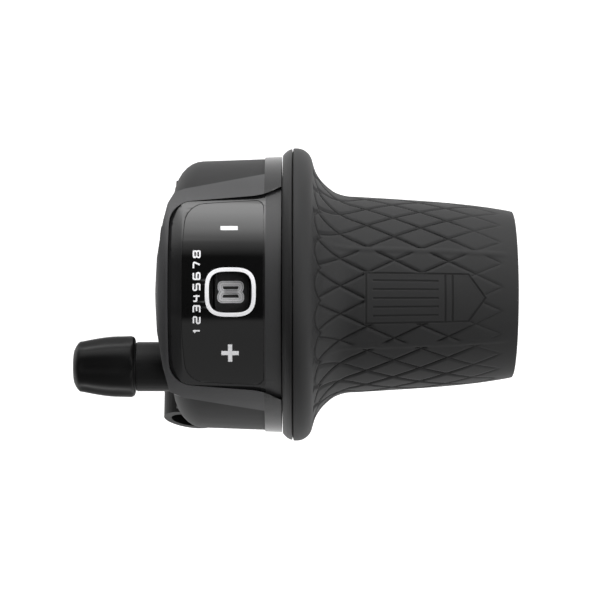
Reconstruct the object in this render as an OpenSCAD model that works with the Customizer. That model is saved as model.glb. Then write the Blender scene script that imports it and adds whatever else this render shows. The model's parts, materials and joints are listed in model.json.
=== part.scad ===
// Handlebar twist shifter for an eight-speed hub gear.
// X runs along the handlebar towards its end, Z points up through the display,
// and the origin is on the bar's axis at the inboard face of the clamp collar.

/* [Handlebar] */
// Diameter of the handlebar
bar_d = 22.2; // [18.5:0.1:26.6]
// Radial gap between the clamp collar and the bar
clamp_gap = 0.05; // [0.02:0.01:0.15]
// Radial gap between the turning tube and the bar
tube_gap = 0.3; // [0.2:0.05:0.6]

/* [Housing] */
// Radial room from the bar's surface to the housing's outboard rim
housing_depth = 16.4; // [15.7:0.1:19.7]
// Length of the housing along the bar
housing_len = 24; // [23.8:0.1:28.8]
// How far the radius falls for each millimetre towards the clamp
draft = 0.035; // [0:0.005:0.06]
// Thickness of the outboard end wall
end_wall = 1.6; // [1.2:0.1:2]
// Depth of the two side scoops below the display frame
scoop_depth = 0.35; // [0.2:0.05:0.6]
// Width of the outboard rim beside the scoops
rim_w = 3.3; // [2.5:0.1:5]
// Wall of the housing at its outboard rim
shell_wall = 2.3; // [2:0.1:2.6]
// Height of the parting plane between body and cover
split_z = -1; // [-2:0.5:0]

/* [Clamp] */
// Length of the clamp collar
collar_len = 9.5; // [8.5:0.5:9.5]
// Wall of the clamp collar
collar_wall = 2.6; // [2:0.1:2.7]
// Thickness of the wall between collar and drum chamber
partition_t = 1.5; // [1.2:0.1:1.8]
// Width of the collar's slit
slit_w = 2; // [1:0.5:3]
// Radius of the clamp screw's boss
boss_r = 5.1; // [4.8:0.1:5.4]
// Distance of the clamp screw's axis from the collar's bore
screw_lift = 4.65; // [4.4:0.05:5.3]
// Angle by which the screw's mouth turns up towards the display
screw_tilt = 20; // [10:1:24]
// Slant of the boss's mouth
mouth_slant = 8; // [0:1:12]
// Shank diameter of the clamp screw
screw_d = 4; // [3.5:0.5:4]

/* [Display] */
// Width of the display plate along the bar
plate_w = 15.6; // [14.5:0.1:16]
// Height of the display plate across the bar
plate_h = 35.6; // [29.6:0.1:36]
// Width of the aperture over the gear number
aperture_w = 8.2; // [7:0.1:9]

/* [Grip] */
// How far the turning flange stands out past the housing
flange_lip = 1.7; // [1.1:0.1:3]
// Wall of the turning tube
tube_wall = 1.7; // [1.4:0.1:1.8]
// Thickness of the rubber at the start of its barrel
rubber_wall = 6.6; // [5.4:0.1:7.9]
// Position of the outboard end of the rubber
grip_end_x = 70; // [62:1:84]
// Fall of the barrel's radius for each millimetre
barrel_taper = 0.06; // [0.02:0.01:0.08]
// Extra fall of the radius over the last stretch
barrel_droop = 1.1; // [0.5:0.1:1.5]

/* [Indexing] */
// Number of gears
gears = 8; // [3:1:9]
// Turn of the grip between two gears
index_step = 16; // [14:1:16]
// Radial room for the detent spring round the index ring
detent_room = 3.2; // [3:0.1:4]
// Height of the cable over the turning tube
cable_lift = 1.8; // [1.6:0.1:2.2]

/* [Adjuster] */
// Height of the adjuster's axis over the circle of the cable
adjuster_lift = 4.93; // [4.8:0.01:5.1]
// Angle of the adjuster above the horizontal
adjuster_turn = 44.9; // [43:0.1:47]
// Outer radius of the adjuster's neck
neck_r = 4.8; // [4.6:0.1:5]
// Length of the neck outside the collar's face
neck_out = 4; // [3:0.5:6]
// Largest radius of the knob
knob_r = 5.95; // [5.6:0.05:6.8]
// Length of the knob
knob_len = 11.9; // [11:0.1:15]
// Diameter of the cable housing that enters the knob
cable_housing_d = 5; // [4:0.5:5]

/* [Hidden] */
$fn = 96;
arc_steps = 6;
fit_gap = 0.1;
join_gap = 0.08;
far = 90;
bore_r = bar_d / 2 + clamp_gap;
tube_in_r = bar_d / 2 + tube_gap;
tube_out_r = tube_in_r + tube_wall;
collar_r = bore_r + collar_wall;
barrel_r = tube_out_r + rubber_wall;
housing_r = bar_d / 2 + housing_depth;
flange_r = housing_r + flange_lip;
chamber_r = housing_r - shell_wall;
index_r = chamber_r - detent_room;
cable_r = tube_out_r + cable_lift;

// Places along the bar, from the clamp to the grip
partition_x = collar_len;
chamber_x = partition_x + partition_t;
washer_x = chamber_x + 0.05;
washer_t = 0.6;
tube_x = washer_x + washer_t + 0.1;
spool_x = tube_x;
spool_flange_t = 1.7;
groove_w = 2.2;
groove_mid_x = spool_x + spool_flange_t + groove_w / 2;
web_x = groove_mid_x + groove_w / 2 + 1.2;
web_t = 1;
index_x = web_x + web_t + 0.1;
index_w = 3.2;
end_wall_x = housing_len - 0.2 - end_wall;
wave_x = index_x + index_w + 0.05;
wave_w = end_wall_x - wave_x - 0.05;
flange_x = housing_len + 0.2;
flange_w = 1.9;
rubber_x = flange_x + flange_w;

// Radii in the drum chamber
spool_r = cable_r + 1.3;
groove_r = cable_r - 0.8;
number_r = chamber_r - 1;
number_skin = 1.2;
key_w = 3;
key_h = 0.8;
wall_hole_r = tube_out_r + 0.9;

// The stop pin and its arc slot in the partition
stop_pin_r = 0.8;
stop_r = cable_r + 0.5;
stop_a = 62;
travel = (gears - 1) * index_step;

// The display
frame_left_bow = 70;
plate_x = 12.9;
plate_y = 0.35;
plate_low = plate_y - plate_h / 2;
plate_high = plate_y + plate_h / 2;
plate_bow_y = plate_h / 2 - 9.8;
aperture_x = 14.4;
aperture_y = 0.4;
plate_r = housing_r - 0.6;
bezel_floor = 0.5;

// The adjuster
adj_dist = cable_r + adjuster_lift;
adj_a = 180 - adjuster_turn;
thread_r = 3;
neck_bore_r = thread_r + 0.1;
neck_bore_end = collar_len - 1.5;
knob_gap = 0.4;
knob_x = -neck_out - knob_gap;
knob_end_x = knob_x - knob_len;
socket_r = cable_housing_d / 2 + 0.05;
socket_depth = 7.6;
spring_room_r = 4.8;
spring_room = 3;
guide_r = 1.5;
guide_bore_r = 0.9;
guide_bend = 3;

// The clamp screw, in a frame turned by screw_tilt where it runs along Y
screw_x = boss_r;
screw_dist = bore_r + screw_lift;
mouth_y = -21.4;
head_r = 3.5;
head_h = screw_d;
seat_y = -9.5;
nut_end_y = 9;
nut_y = 5;
nut_h = 3.2;
nut_af = 7;
key_af = 3;

// The cover screws
cover_screw_y = housing_r - 8;
cover_screw_z = 3.5;
cover_screw_r = 1.1;
cover_head_r = 2.2;
cover_head_h = 1.6;
cover_boss_r = 3.1;
cover_seat_x = 5.2;

// ---- helpers ----

// Revolves an outline of [x, radius] points about the bar's axis.
module lathe(outline) {
    rotate([0, 90, 0])
        rotate_extrude()
            polygon([for (p = outline) [p[1], p[0]]]);
}

// A tube along the bar's axis.
module ring(x, w, r_out, r_in) {
    lathe([[x, r_in], [x, r_out], [x + w, r_out], [x + w, r_in]]);
}

// A solid bar along X.
module rod(x, w, r) {
    translate([x, 0, 0])
        rotate([0, 90, 0])
            cylinder(h = w, r = r);
}

// A sector of a tube, from angle a for sweep degrees, seen along X from +Y towards +Z.
module sector(x, w, r_out, r_in, a, sweep) {
    rotate([a, 0, 0])
        rotate([90, 0, 90])
            rotate_extrude(angle = sweep)
                translate([r_in, x])
                    square([r_out - r_in, w]);
}

// Points of an arc of [x, y] about a centre.
function arc(centre, rx, ry, from, to, steps = arc_steps) =
    [for (i = [0:steps])
        let (a = from + (to - from) * i / steps)
        [centre[0] + rx * cos(a), centre[1] + ry * sin(a)]];

// One corner of an outline, rounded with a given radius.
function corner(before, at, after, r) =
    let (
        u = (before - at) / norm(before - at),
        v = (after - at) / norm(after - at),
        half = acos(u * v) / 2,
        middle = (u + v) / norm(u + v),
        centre = at + middle * r / sin(half),
        start = at + u * r / tan(half),
        a0 = atan2(start[1] - centre[1], start[0] - centre[0]),
        turn = u[0] * v[1] - u[1] * v[0] > 0 ? -1 : 1
    )
    [for (i = [0:arc_steps])
        let (a = a0 + turn * (180 - 2 * half) * i / arc_steps)
        [centre[0] + r * cos(a), centre[1] + r * sin(a)]];

// An outline of corners [x, y, radius], all rounded.
function rounded(points) =
    [for (i = [0:len(points) - 1])
        let (
            n = len(points),
            p = points[i],
            a = points[(i + n - 1) % n],
            b = points[(i + 1) % n]
        )
        each corner([a[0], a[1]], [p[0], p[1]], [b[0], b[1]], p[2])];

// The left edge of the display bows towards the clamp.
function bow(x, y) = x + y * y / (2 * frame_left_bow);

// ---- outlines seen from above ----

// The display frame: all of the cover's raised surface.
frame_outline = [
    [3.4, plate_high + 1.55], [bow(0, plate_high - 0.65), plate_high - 0.65],
    [bow(0, 14), 14], [bow(0, 7), 7], [0, 0], [bow(0, -7), -7], [bow(0, -14), -14],
    [bow(0, plate_low - 1.35), plate_low - 1.35],
    [5.3, plate_low - 2.55], [housing_len - rim_w, plate_low - 5.15], [housing_len - rim_w, -far],
    [housing_len, -far], [housing_len, far],
    [housing_len - rim_w, far], [housing_len - rim_w, plate_high + 5.25], [5.3, plate_high + 2.25]
];

// The opening that holds the bezel, shrunk by a gap.
function opening_outline(g) = rounded([
    [bow(2, plate_bow_y) + g, -plate_bow_y, 60], [2.6 + g, plate_low + 0.25 + g, 4.5],
    [housing_len - rim_w, plate_low - 1.15 + g, 12], [housing_len + 1, plate_low - 3.55 + g, 1],
    [housing_len + 1, plate_high + 3.25 - g, 1], [housing_len - rim_w, plate_high + 0.95 - g, 12],
    [2.6 + g, plate_high - 0.55 - g, 4.5], [bow(2, plate_bow_y) + g, plate_bow_y, 60]
]);

// The display plate, shrunk by a gap.
function plate_outline(g) =
    let (
        x0 = plate_x - plate_w / 2 + g,
        x1 = plate_x + plate_w / 2 - g,
        y0 = plate_low + g,
        y1 = plate_high - g
    )
    rounded([
        [x0, -plate_bow_y, 60], [x0 + 0.7, y0 + 0.7, 4], [x1, y0, 1.5],
        [x1, y1, 1.5], [x0 + 0.7, y1 - 0.9, 4], [x0, plate_bow_y, 60]
    ]);

// The aperture over the gear number, shrunk by a gap.
function aperture_outline(g) =
    let (h = aperture_w / 2 - g, r = aperture_w * 0.34)
    rounded([
        [aperture_x - h, aperture_y - h, r], [aperture_x + h, aperture_y - h, r],
        [aperture_x + h, aperture_y + h, r], [aperture_x - h, aperture_y + h, r]
    ]);

// Extrudes an outline upwards, above the bar.
module above(outline) {
    translate([0, 0, 8])
        linear_extrude(height = 30)
            polygon(outline);
}

// ---- housing ----

function frame_r(x) = housing_r - draft * (housing_len - x);
function base_r(x) = frame_r(x) - scoop_depth;

dome_x = 8.4;
dome_start = 2.5;
dome_drop = 7.8;

// The drum below the raised frame, with its domed inboard end.
base_outline = concat(
    [[dome_start, 0]],
    arc([dome_x, base_r(dome_x) - dome_drop], dome_x - dome_start, dome_drop, 180, 90, 8),
    [[housing_len, base_r(housing_len)], [housing_len, 0]]
);

rim_round = 2.6;

// The raised frame, with its rounded inboard rim.
raised_outline = concat(
    [[0, 14]],
    arc([rim_round, frame_r(rim_round) - rim_round], rim_round, rim_round, 180, 90),
    [[housing_len, frame_r(housing_len)], [housing_len, 14]]
);

// The space inside both shells.
module chamber() {
    rod(partition_x - 0.2, end_wall_x - partition_x + 0.2, chamber_r);
}

// The half of space above the parting plane.
module upper_half(gap = 0) {
    translate([-far / 2, -far / 2, split_z + gap])
        cube([far, far, far]);
}

module lower_half(gap = 0) {
    translate([-far / 2, -far / 2, split_z - gap - far])
        cube([far, far, far]);
}

// Puts children at each cover screw.
module at_cover_screws() {
    for (side = [-1, 1])
        translate([0, side * cover_screw_y, cover_screw_z]) children();
}

// Puts children on the adjuster's axis.
module at_adjuster() {
    translate([0, adj_dist * cos(adj_a), adj_dist * sin(adj_a)]) children();
}

module housing_cover() {
    color([0.22, 0.22, 0.225])
        difference() {
            union() {
                difference() {
                    union() {
                        lathe(base_outline);
                        intersection() {
                            lathe(raised_outline);
                            above(frame_outline);
                        }
                        lathe([
                            [housing_len - rim_w, 14], [housing_len - rim_w, frame_r(housing_len - rim_w)],
                            [housing_len, frame_r(housing_len)], [housing_len, 14]
                        ]);
                    }
                    chamber();
                    lathe(dome_hollow);
                    above(opening_outline(0));
                }
                at_cover_screws() rod(dome_start + 0.6, partition_x - dome_start - 0.7, cover_boss_r);
            }
            lower_half();
            rod(-1, housing_len + 2, wall_hole_r);
            at_adjuster() rod(-1, partition_x + 1, neck_r + fit_gap);
            at_cover_screws() {
                rod(-1, housing_len / 2, cover_screw_r + 0.05);
                rod(-1, cover_seat_x + 1, cover_head_r + fit_gap);
            }
        }
}

// The hollow behind the cover's dome.
dome_hollow = [
    [dome_start + 2.1, 0], [dome_start + 2.1, chamber_r - 4.2], [dome_start + 4.5, chamber_r - 0.8],
    [partition_x, chamber_r - 0.8], [partition_x, 0]
];

// Turns children into the clamp screw's frame.
module clamp_frame() {
    rotate([-screw_tilt, 0, 0])
        translate([screw_x, 0, -screw_dist])
            rotate([90, 0, 0]) children();
}

module housing_body() {
    color([0.1, 0.1, 0.105])
        difference() {
            union() {
                rod(0, collar_len + 0.1, collar_r);
                rod(partition_x, partition_t, chamber_r - 0.2);
                lower_shell();
                clamp_boss();
                at_adjuster() rod(-neck_out, neck_out + partition_x + 0.5, neck_r);
                spring_posts();
            }
            rod(-1, chamber_x + 2, bore_r);
            clamp_cuts();
            at_adjuster() {
                rod(-neck_out - 1, neck_out + 1 + neck_bore_end, neck_bore_r);
                rod(0, chamber_x + 1, guide_r + 0.05);
            }
            at_cover_screws() rod(partition_x - 1, partition_t + 2, cover_screw_r + 0.05);
            stop_slot();
        }
}

module lower_shell() {
    intersection() {
        difference() {
            lathe(base_outline);
            rod(0, partition_x, far);
            rod(chamber_x, end_wall_x - chamber_x, chamber_r);
            rod(partition_x - 1, housing_len, wall_hole_r);
        }
        lower_half(join_gap);
    }
}

module clamp_boss() {
    intersection() {
        rotate([-screw_tilt, 0, 0])
            union() {
                translate([screw_x, nut_end_y, -screw_dist])
                    rotate([90, 0, 0])
                        cylinder(h = nut_end_y - mouth_y + 4, r = boss_r);
                translate([0, -nut_end_y, -screw_dist])
                    cube([collar_len, 2 * nut_end_y, screw_dist - bar_d / 2 + 3]);
            }
        // The mouth is cut on a slant
        rotate([-screw_tilt, 0, 0])
            translate([screw_x, mouth_y, 0])
                rotate([0, 0, -mouth_slant])
                    translate([-far / 2, 0, -far / 2])
                        cube([far, far, far]);
    }
}

module clamp_cuts() {
    clamp_frame() {
        translate([0, 0, -nut_end_y - 1])
            cylinder(h = 2 * far, r = screw_d / 2 + 0.15);
        translate([0, 0, -seat_y])
            cylinder(h = far, r = head_r + fit_gap);
        translate([0, 0, -nut_end_y - 1])
            cylinder(h = nut_end_y + 1 - nut_y, r = (nut_af + 0.2) / sqrt(3), $fn = 6);
    }
    rotate([-screw_tilt, 0, 0])
        translate([-1, -slit_w / 2, -screw_dist - boss_r - 1])
            cube([collar_len + 1, slit_w, screw_dist + boss_r + 1 - 5]);
}

// Ribs that carry the two ends of the detent spring.
module spring_posts() {
    for (side = [-1, 1])
        sector(index_x + 0.2, index_w - 0.4, chamber_r + 0.3, leaf_r + leaf_t + 0.05,
               -90 + side * leaf_half_span - 3, 6);
}

// The arc slot that the spool's stop pin travels in.
module stop_slot() {
    slot_half = stop_pin_r + 0.15;
    reach = asin(slot_half / stop_r);
    sector(partition_x - 0.5, partition_t + 1, stop_r + slot_half, stop_r - slot_half,
           stop_a - travel - reach, travel + 2 * reach);
}

module cover_screws() {
    color([0.45, 0.45, 0.47])
        at_cover_screws()
            difference() {
                union() {
                    rod(cover_seat_x - cover_head_h, cover_head_h, cover_head_r);
                    rod(cover_seat_x - 0.1, chamber_x - cover_seat_x - 0.2, cover_screw_r);
                }
                // Cross recess
                for (a = [0, 90])
                    rotate([a, 0, 0])
                        translate([cover_seat_x - cover_head_h - 1, -0.3, -1.3])
                            cube([1.9, 0.6, 2.6]);
            }
}

module clamp_screw() {
    color([0.3, 0.3, 0.31])
        clamp_frame()
            difference() {
                union() {
                    translate([0, 0, -seat_y]) cylinder(h = head_h, r = head_r);
                    translate([0, 0, -nut_end_y + 0.5])
                        cylinder(h = nut_end_y - seat_y, r = screw_d / 2);
                }
                translate([0, 0, -seat_y + head_h - 2.2])
                    cylinder(h = 4, r = key_af / sqrt(3), $fn = 6);
            }
}

module clamp_nut() {
    color([0.55, 0.55, 0.57])
        clamp_frame()
            translate([0, 0, -nut_y - nut_h])
                difference() {
                    cylinder(h = nut_h, r = nut_af / sqrt(3), $fn = 6);
                    translate([0, 0, -1]) cylinder(h = nut_h + 2, r = screw_d / 2 + 0.02);
                }
}

// ---- display ----

band_r = plate_r - 0.1;
band_drop = 1.1;
band_left_x = 2;

// The bezel's surface: a cone falling towards the clamp, then a cylinder.
module bezel_shell(r_in) {
    lathe([
        [band_left_x - 1, r_in], [band_left_x - 1, band_r - band_drop * 1.33],
        [plate_x - plate_w / 2 - 0.1, band_r], [housing_len, band_r], [housing_len, r_in]
    ]);
}

module display_bezel() {
    color([0.06, 0.06, 0.065])
        difference() {
            intersection() {
                bezel_shell(chamber_r - 0.3);
                above(opening_outline(join_gap));
            }
            rod(partition_x - 0.2, end_wall_x + 0.05 - partition_x + 0.2, chamber_r);
            rod(end_wall_x, housing_len, chamber_r - 0.1);
            intersection() {
                ring(0, housing_len, housing_r + 1, chamber_r + bezel_floor);
                above(plate_outline(0));
            }
            above(aperture_outline(-0.3));
        }
}

module display_plate() {
    color([0.01, 0.01, 0.01])
        difference() {
            intersection() {
                ring(0, housing_len, plate_r, chamber_r + bezel_floor + 0.05);
                above(plate_outline(join_gap));
            }
            above(aperture_outline(0));
        }
}

module display_lens() {
    color([0.7, 0.75, 0.78, 0.4])
        intersection() {
            ring(0, housing_len, plate_r - 0.1, chamber_r + bezel_floor + 0.15);
            above(aperture_outline(0.05));
        }
}

// ---- inside the drum chamber ----

leaf_r = index_r + 0.7;
leaf_t = 0.4;
leaf_half_span = 26;
nose_r = 0.8;
notch_r = nose_r + 0.15;

// The leaf spring, whose nose drops into the index ring's notches.
module detent_spring() {
    nose_c = index_r - 0.1;
    color([0.6, 0.6, 0.62])
        union() {
            sector(index_x + 0.3, index_w - 0.6, leaf_r + leaf_t, leaf_r,
                   -90 - leaf_half_span, 2 * leaf_half_span);
            intersection() {
                translate([0, 0, -nose_c]) rod(index_x + 0.3, index_w - 0.6, nose_r);
                ring(index_x, index_w, leaf_r + 0.1, index_r - 3);
            }
            translate([index_x + 0.3, -nose_r * 0.6, -leaf_r - 0.1])
                cube([index_w - 0.6, nose_r * 1.2, leaf_r - nose_c + 0.1]);
        }
}

// The elbow that turns the cable from the adjuster onto the spool.
module cable_guide() {
    start = neck_bore_end + 0.1;
    bend_x = groove_mid_x - guide_bend;
    lean = adj_a + 180 - asin(cable_r / adj_dist);
    color([0.75, 0.75, 0.72])
        at_adjuster()
            rotate([lean, 0, 0]) {
                ring(start, bend_x - start, guide_r, guide_bore_r);
                translate([bend_x, guide_bend, 0])
                    rotate([0, 0, -90])
                        rotate_extrude(angle = 90)
                            translate([guide_bend, 0])
                                difference() {
                                    circle(r = guide_r, $fn = 48);
                                    circle(r = guide_bore_r, $fn = 48);
                                }
            }
}

module thrust_washer() {
    color([0.85, 0.85, 0.8])
        ring(washer_x, washer_t, stop_r - stop_pin_r - 0.2, tube_in_r + 0.3);
}

// The spring washer that takes up the play beside the end wall.
module wave_washer() {
    color([0.6, 0.6, 0.62])
        ring(wave_x, wave_w, wall_hole_r + 4, wall_hole_r + 0.1);
}

// The three keys by which the tube turns the parts around it.
module keys(x, w, grow) {
    for (a = [90, 210, 330])
        rotate([a, 0, 0])
            translate([x, tube_out_r - tube_wall / 2, -key_w / 2 - grow])
                cube([w, tube_wall / 2 + key_h + grow, key_w + 2 * grow]);
}

module keyed_hole(x, w) {
    rod(x - 1, w + 2, tube_out_r + fit_gap / 2);
    keys(x - 1, w + 2, fit_gap / 2);
}

module cable_spool() {
    w = web_x - spool_x;
    color([0.8, 0.8, 0.78])
        difference() {
            union() {
                lathe([
                    [spool_x, 5], [spool_x, spool_r], [spool_x + spool_flange_t, spool_r],
                    [spool_x + spool_flange_t, groove_r],
                    [spool_x + spool_flange_t + groove_w, groove_r],
                    [spool_x + spool_flange_t + groove_w, spool_r],
                    [web_x, spool_r], [web_x, 5]
                ]);
                rotate([stop_a, 0, 0])
                    translate([0, stop_r, 0])
                        rod(partition_x + 0.3, spool_x - partition_x, stop_pin_r);
            }
            keyed_hole(spool_x, w);
            // Pocket for the cable's nipple
            rotate([-150, 0, 0])
                translate([groove_mid_x, cable_r - 0.2, 0])
                    rotate([90, 0, 90])
                        translate([0, 0, -1.4 - groove_w / 2]) cylinder(h = 5.5, r = 1.2);
        }
}

module number_ring() {
    color([0.05, 0.05, 0.05])
        difference() {
            union() {
                ring(web_x + 0.02, web_t, number_r, tube_in_r);
                ring(chamber_x + 0.4, web_x - chamber_x - 0.3, number_r, number_r - number_skin);
            }
            keyed_hole(web_x, web_t);
        }
}

module index_ring() {
    color([0.8, 0.8, 0.78])
        difference() {
            ring(index_x, index_w, index_r, tube_in_r);
            keyed_hole(index_x, index_w);
            for (i = [0:gears - 1])
                rotate([-90 + i * index_step, 0, 0])
                    translate([0, index_r, 0]) rod(index_x - 1, index_w + 2, notch_r);
        }
}

// ---- grip ----

crown_r = 3.2;
crown_x = rubber_x + 0.8;
crown_c = flange_r - crown_r;
throat_r = 8.3;
throat_x = crown_x + crown_r + throat_r - 0.15;
end_round = 0.8;
barrel_x = throat_x + 0.3;

// Radius of the rubber along its barrel.
function rubber_r(x) =
    let (t = (x - barrel_x) / (grip_end_x - barrel_x))
    barrel_r - barrel_taper * (x - barrel_x) - barrel_droop * pow(t, 4);

rubber_outline = concat(
    [[rubber_x + 0.03, tube_out_r + 0.05], [rubber_x + 0.03, flange_r - 0.6]],
    arc([crown_x, crown_c], crown_r, crown_r, 99, 0, 8),
    arc([throat_x, barrel_r + throat_r], throat_r, throat_r, 190, 268, 14),
    [for (i = [0:10])
        let (x = barrel_x + (grip_end_x - 0.5 - barrel_x) * i / 10) [x, rubber_r(x)]],
    arc([grip_end_x - end_round, rubber_r(grip_end_x) - end_round * 0.8], end_round, end_round, 60, 0, 4),
    [[grip_end_x, tube_out_r + 0.05]]
);

module grip_rubber() {
    color([0.13, 0.13, 0.135])
        lathe(rubber_outline);
}

// Outline of the hard tube that turns on the bar, with the flange beside the housing.
tube_end_x = grip_end_x - 0.4;
tube_outline = concat(
    [[tube_x, tube_in_r], [tube_x, tube_out_r], [flange_x, tube_out_r], [flange_x, flange_r - 1.5]],
    arc([crown_x, crown_c], crown_r, crown_r, 145, 108, 4),
    [[rubber_x, flange_r - 0.3], [rubber_x, tube_out_r], [tube_end_x, tube_out_r], [tube_end_x, tube_in_r]]
);

module grip_tube() {
    color([0.16, 0.16, 0.165])
        union() {
            lathe(tube_outline);
            keys(tube_x + 0.1, index_x + index_w - tube_x - 0.1, 0);
        }
}

// ---- adjuster ----

barrel_start = knob_end_x + socket_depth + 0.1;
barrel_end = neck_bore_end - 1;
lobes = 6;
flute_r = 9;
flute_depth = 0.55;

// The threaded barrel, drawn with plain rings for its thread.
module adjuster_barrel() {
    thread_start = -neck_out + 0.5;
    color([0.5, 0.5, 0.52])
        at_adjuster()
            difference() {
                rod(barrel_start, barrel_end - barrel_start, thread_r);
                rod(barrel_start - 1, barrel_end - barrel_start + 2, 1.2);
                for (x = [thread_start:1:barrel_end - 1])
                    lathe([[x, thread_r + 1], [x, thread_r], [x + 0.3, thread_r - 0.35], [x + 0.6, thread_r],
                           [x + 0.6, thread_r + 1]]);
            }
}

// Outline of the knob before its flutes.
knob_outline = concat(
    [[knob_end_x, 0], [knob_end_x, knob_r * 0.5], [knob_end_x + 0.7, knob_r * 0.7]],
    arc([knob_end_x + 2, knob_r - 2.6], 1.3, 1.5, 150, 100, 4),
    [[knob_end_x + knob_len * 0.55, knob_r - 0.3], [knob_x - 2.2, knob_r]],
    arc([knob_x - 0.8, knob_r - 0.8], 0.8, 0.8, 90, 0),
    [[knob_x, 0]]
);

module adjuster_knob() {
    color([0.05, 0.05, 0.055])
        at_adjuster()
            difference() {
                lathe(knob_outline);
                for (i = [0:lobes - 1])
                    rotate([i * 360 / lobes, 0, 0])
                        translate([0, 0, knob_r + flute_r - flute_depth])
                            rotate([0, 2.5, 0]) rod(knob_end_x - 1, knob_len - 0.6, flute_r);
                rod(knob_end_x - 1, socket_depth + 1, socket_r);
                rod(barrel_start - 0.1, knob_len, thread_r + 0.05);
                rod(knob_x - spring_room, spring_room + 1, spring_room_r);
            }
}

spring_r = 4.1;
spring_wire = 0.3;
spring_turns = 3.5;
spring_steps = 18;
spring_sides = 8;

// The coil spring that keeps the knob from turning by itself.
module adjuster_spring() {
    total = spring_turns * spring_steps;
    x0 = knob_x - spring_room + spring_wire + 0.05;
    pitch = (spring_room + knob_gap - 2 * spring_wire - 0.1) / total;
    points = [for (i = [0:total], j = [0:spring_sides - 1])
        let (
            a = i * 360 / spring_steps,
            b = j * 360 / spring_sides,
            r = spring_r + spring_wire * cos(b)
        )
        [x0 + i * pitch + spring_wire * sin(b), r * cos(a), r * sin(a)]];
    sides = [for (i = [0:total - 1], j = [0:spring_sides - 1])
        let (k = (j + 1) % spring_sides, s = spring_sides)
        [i * s + j, (i + 1) * s + j, (i + 1) * s + k, i * s + k]];
    first = [for (j = [0:spring_sides - 1]) j];
    last = [for (j = [spring_sides - 1:-1:0]) total * spring_sides + j];
    color([0.6, 0.6, 0.62])
        at_adjuster()
            polyhedron(points = points, faces = concat([first], sides, [last]));
}

housing_body();
housing_cover();
display_bezel();
display_plate();
display_lens();
clamp_screw();
clamp_nut();
cover_screws();
detent_spring();
cable_guide();
thrust_washer();
wave_washer();
cable_spool();
number_ring();
index_ring();
grip_tube();
grip_rubber();
adjuster_barrel();
adjuster_knob();
adjuster_spring();
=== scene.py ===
import json
import math

import bpy
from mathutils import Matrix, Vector

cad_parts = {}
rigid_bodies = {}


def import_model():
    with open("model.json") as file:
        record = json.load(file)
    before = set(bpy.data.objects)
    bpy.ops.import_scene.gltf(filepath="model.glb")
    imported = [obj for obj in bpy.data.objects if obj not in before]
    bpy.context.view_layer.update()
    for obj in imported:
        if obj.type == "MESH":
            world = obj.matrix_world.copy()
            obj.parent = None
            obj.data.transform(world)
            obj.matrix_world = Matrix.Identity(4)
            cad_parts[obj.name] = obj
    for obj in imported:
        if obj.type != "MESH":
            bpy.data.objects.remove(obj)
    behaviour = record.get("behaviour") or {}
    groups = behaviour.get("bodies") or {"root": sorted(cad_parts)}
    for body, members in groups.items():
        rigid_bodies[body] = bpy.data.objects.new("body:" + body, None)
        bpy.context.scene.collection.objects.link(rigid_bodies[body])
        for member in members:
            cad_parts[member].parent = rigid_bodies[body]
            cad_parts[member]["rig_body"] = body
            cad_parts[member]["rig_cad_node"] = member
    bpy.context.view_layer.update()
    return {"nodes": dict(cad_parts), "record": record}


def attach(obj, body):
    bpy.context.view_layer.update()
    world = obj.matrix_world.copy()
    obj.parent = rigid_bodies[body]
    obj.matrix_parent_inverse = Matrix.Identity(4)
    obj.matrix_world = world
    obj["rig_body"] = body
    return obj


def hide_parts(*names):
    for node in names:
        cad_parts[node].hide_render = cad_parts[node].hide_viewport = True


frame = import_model()
nodes = frame["nodes"]
mm = 0.001
print("frame loaded:", len(nodes), "nodes")


def deselectAll():
    if bpy.context.mode != "OBJECT":
        bpy.ops.object.mode_set(mode="OBJECT")
    bpy.ops.object.select_all(action="DESELECT")


def pick(piece):
    deselectAll()
    piece.select_set(True)
    bpy.context.view_layer.objects.active = piece


def applyModifier(piece, kind, **settings):
    pick(piece)
    modifier = piece.modifiers.new(kind.lower(), kind)
    for name, value in settings.items():
        setattr(modifier, name, value)
    bpy.ops.object.modifier_apply(modifier=modifier.name)


def smoothEdges(piece, degrees=35):
    pick(piece)
    bpy.ops.object.shade_smooth_by_angle(angle=math.radians(degrees))


def settle(piece):
    # the piece's place goes into its mesh, and its object to the origin
    pick(piece)
    bpy.ops.object.transform_apply(location=True, rotation=True, scale=True)


# how a construction part is cleaned and rounded, in mm and degrees
soften = {"merge": 0.002, "flat": 0.3, "sharp": 28, "segments": 2, "smooth": 30, "weight": 60}


def softenedCopy(node, name, width):
    # a copy of a construction part with its sharp edges rounded
    source = nodes[node]
    piece = source.copy()
    piece.data = source.data.copy()
    piece.name = piece.data.name = name
    piece.parent = None
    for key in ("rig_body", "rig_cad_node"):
        if key in piece:
            del piece[key]
    bpy.context.scene.collection.objects.link(piece)
    pick(piece)
    bpy.ops.object.mode_set(mode="EDIT")
    bpy.ops.mesh.select_all(action="SELECT")
    bpy.ops.mesh.remove_doubles(threshold=soften["merge"] * mm)
    bpy.ops.mesh.dissolve_limited(angle_limit=math.radians(soften["flat"]))
    bpy.ops.object.mode_set(mode="OBJECT")
    applyModifier(piece, "BEVEL", width=width, segments=soften["segments"], limit_method="ANGLE",
                  angle_limit=math.radians(soften["sharp"]), use_clamp_overlap=True)
    smoothEdges(piece, soften["smooth"])
    applyModifier(piece, "WEIGHTED_NORMAL", weight=soften["weight"], keep_sharp=True)
    return piece


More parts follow.
